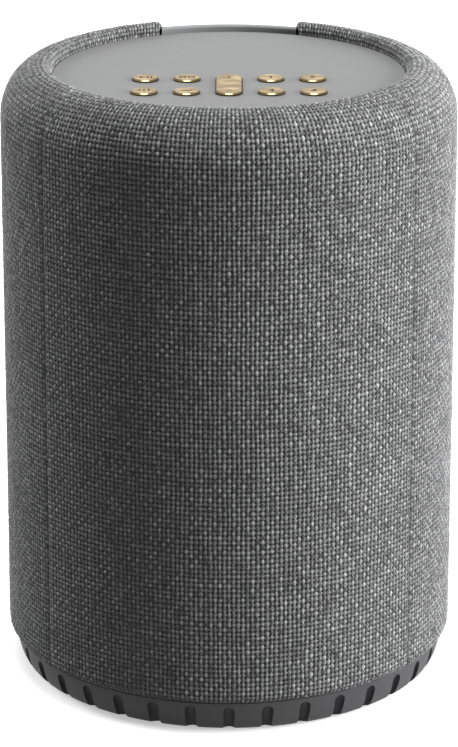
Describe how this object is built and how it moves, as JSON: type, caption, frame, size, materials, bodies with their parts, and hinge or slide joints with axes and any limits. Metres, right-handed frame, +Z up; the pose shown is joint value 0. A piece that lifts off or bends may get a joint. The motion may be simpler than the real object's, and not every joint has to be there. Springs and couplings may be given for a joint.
{
  "type": "smart speaker",
  "caption": "Tall round speaker in a woven sleeve, with a recessed top panel of round metal keys, a moulded rear spine with sockets and a notched rubber foot ring.",
  "frame": {"origin": "centre of the foot ring on the surface that the speaker stands on", "axes": "+Z up, the front is -Y, and the spine with the sockets faces +Y"},
  "size_m": [0.14, 0.1382, 0.193],
  "materials": {
    "fabric": "plain woven two-tone grey yarn",
    "foot_rubber": "matte moulded rubber",
    "panel_plastic": "fine satin, light grey",
    "spine_plastic": "fine spark-eroded texture, mid grey",
    "key_brass": "spun-brushed top with a polished chamfer",
    "black_plastic": "moulded, matte",
    "seal_rubber": "satin",
    "foam": "open-cell foam",
    "magnet": "ferrite and coated steel",
    "spider_cloth": "resin-dipped cloth",
    "cone_pulp": "pressed fibre",
    "copper": "enamelled copper",
    "steel": "zinc-plated",
    "circuit_board": "solder mask",
    "lens": "translucent white",
    "cable_film": "polyester film",
    "aluminium": "extruded",
    "winding": "tape-wrapped winding",
    "capacitor_sleeve": "heat-shrunk sleeve",
    "socket_plastic": "moulded, satin black",
    "wire_insulation": "smooth insulation"
  },
  "bodies": {
    "housing": {"foot_ring": "foot_rubber", "base_tray": "black_plastic", "base_screws": "steel", "fabric_sleeve": "fabric", "grille_shell": "black_plastic", "top_frame": "black_plastic", "top_panel": "panel_plastic", "rear_spine": "spine_plastic", "cabinet_shell": "black_plastic", "cabinet_cover": "black_plastic", "cabinet_gasket": "seal_rubber", "cover_screws": "steel", "damping_foam": "foam", "woofer_basket": "black_plastic", "woofer_magnet": "magnet", "woofer_spider": "spider_cloth", "woofer_surround": "seal_rubber", "tweeter_faceplate": "black_plastic", "tweeter_magnet": "magnet", "passive_left_frame": "black_plastic", "passive_left_surround": "seal_rubber", "passive_right_frame": "black_plastic", "passive_right_surround": "seal_rubber", "driver_screws": "steel", "control_board": "circuit_board", "control_board_screws": "steel", "dome_switches": "steel", "indicator_lenses": "lens", "ribbon_cable": "cable_film", "main_board": "circuit_board", "heat_sink": "aluminium", "wifi_module": "steel", "antenna_strips": "copper", "power_board": "circuit_board", "transformer": "winding", "capacitors": "capacitor_sleeve", "mains_inlet": "socket_plastic", "inlet_pins": "steel", "aux_jack": "socket_plastic", "speaker_wires": "wire_insulation"},
    "woofer_moving": {"woofer_cone": "cone_pulp", "woofer_dust_cap": "cone_pulp", "woofer_voice_coil": "copper"},
    "tweeter_moving": {"tweeter_dome": "cone_pulp"},
    "passive_left_moving": {"passive_left_diaphragm": "cone_pulp"},
    "passive_right_moving": {"passive_right_diaphragm": "cone_pulp"},
    "play_key": {"play_key": "key_brass"},
    "source_key": {"source_key": "key_brass"},
    "group_key": {"group_key": "key_brass"},
    "link_key": {"link_key": "key_brass"},
    "volume_rocker": {"volume_rocker": "key_brass"},
    "preset_1_key": {"preset_1_key": "key_brass"},
    "preset_2_key": {"preset_2_key": "key_brass"},
    "preset_3_key": {"preset_3_key": "key_brass"},
    "preset_4_key": {"preset_4_key": "key_brass"}
  },
  "joints": [
    {"name": "woofer_stroke", "type": "slide", "parent": "housing", "child": "woofer_moving", "axis": [0, -1, 0], "range_m": [-0.003, 0.003], "stiffness_N_per_m": 1500, "deforming": ["woofer_surround", "woofer_spider"]},
    {"name": "tweeter_stroke", "type": "slide", "parent": "housing", "child": "tweeter_moving", "axis": [0, -1, 0], "range_m": [-0.0002, 0.0002], "stiffness_N_per_m": 1000},
    {"name": "passive_left_stroke", "type": "slide", "parent": "housing", "child": "passive_left_moving", "axis": [-1, 0, 0], "range_m": [-0.004, 0.004], "stiffness_N_per_m": 900, "deforming": ["passive_left_surround"]},
    {"name": "passive_right_stroke", "type": "slide", "parent": "housing", "child": "passive_right_moving", "axis": [1, 0, 0], "range_m": [-0.004, 0.004], "stiffness_N_per_m": 900, "deforming": ["passive_right_surround"]},
    {"name": "play_press", "type": "slide", "parent": "housing", "child": "play_key", "axis": [0, 0, -1], "range_m": [0, 0.0006], "stiffness_N_per_m": 1000, "springref_m": -0.0003},
    {"name": "source_press", "type": "slide", "parent": "housing", "child": "source_key", "axis": [0, 0, -1], "range_m": [0, 0.0006], "stiffness_N_per_m": 1000, "springref_m": -0.0003},
    {"name": "group_press", "type": "slide", "parent": "housing", "child": "group_key", "axis": [0, 0, -1], "range_m": [0, 0.0006], "stiffness_N_per_m": 1000, "springref_m": -0.0003},
    {"name": "link_press", "type": "slide", "parent": "housing", "child": "link_key", "axis": [0, 0, -1], "range_m": [0, 0.0006], "stiffness_N_per_m": 1000, "springref_m": -0.0003},
    {"name": "preset_1_press", "type": "slide", "parent": "housing", "child": "preset_1_key", "axis": [0, 0, -1], "range_m": [0, 0.0006], "stiffness_N_per_m": 1000, "springref_m": -0.0003},
    {"name": "preset_2_press", "type": "slide", "parent": "housing", "child": "preset_2_key", "axis": [0, 0, -1], "range_m": [0, 0.0006], "stiffness_N_per_m": 1000, "springref_m": -0.0003},
    {"name": "preset_3_press", "type": "slide", "parent": "housing", "child": "preset_3_key", "axis": [0, 0, -1], "range_m": [0, 0.0006], "stiffness_N_per_m": 1000, "springref_m": -0.0003},
    {"name": "preset_4_press", "type": "slide", "parent": "housing", "child": "preset_4_key", "axis": [0, 0, -1], "range_m": [0, 0.0006], "stiffness_N_per_m": 1000, "springref_m": -0.0003},
    {"name": "volume_tilt", "type": "hinge", "parent": "housing", "child": "volume_rocker", "pos_m": [0, -0.0174, 0.1858], "axis": [1, 0, 0], "range_deg": [-2, 2], "stiffness_Nm_per_rad": 0.2}
  ]
}
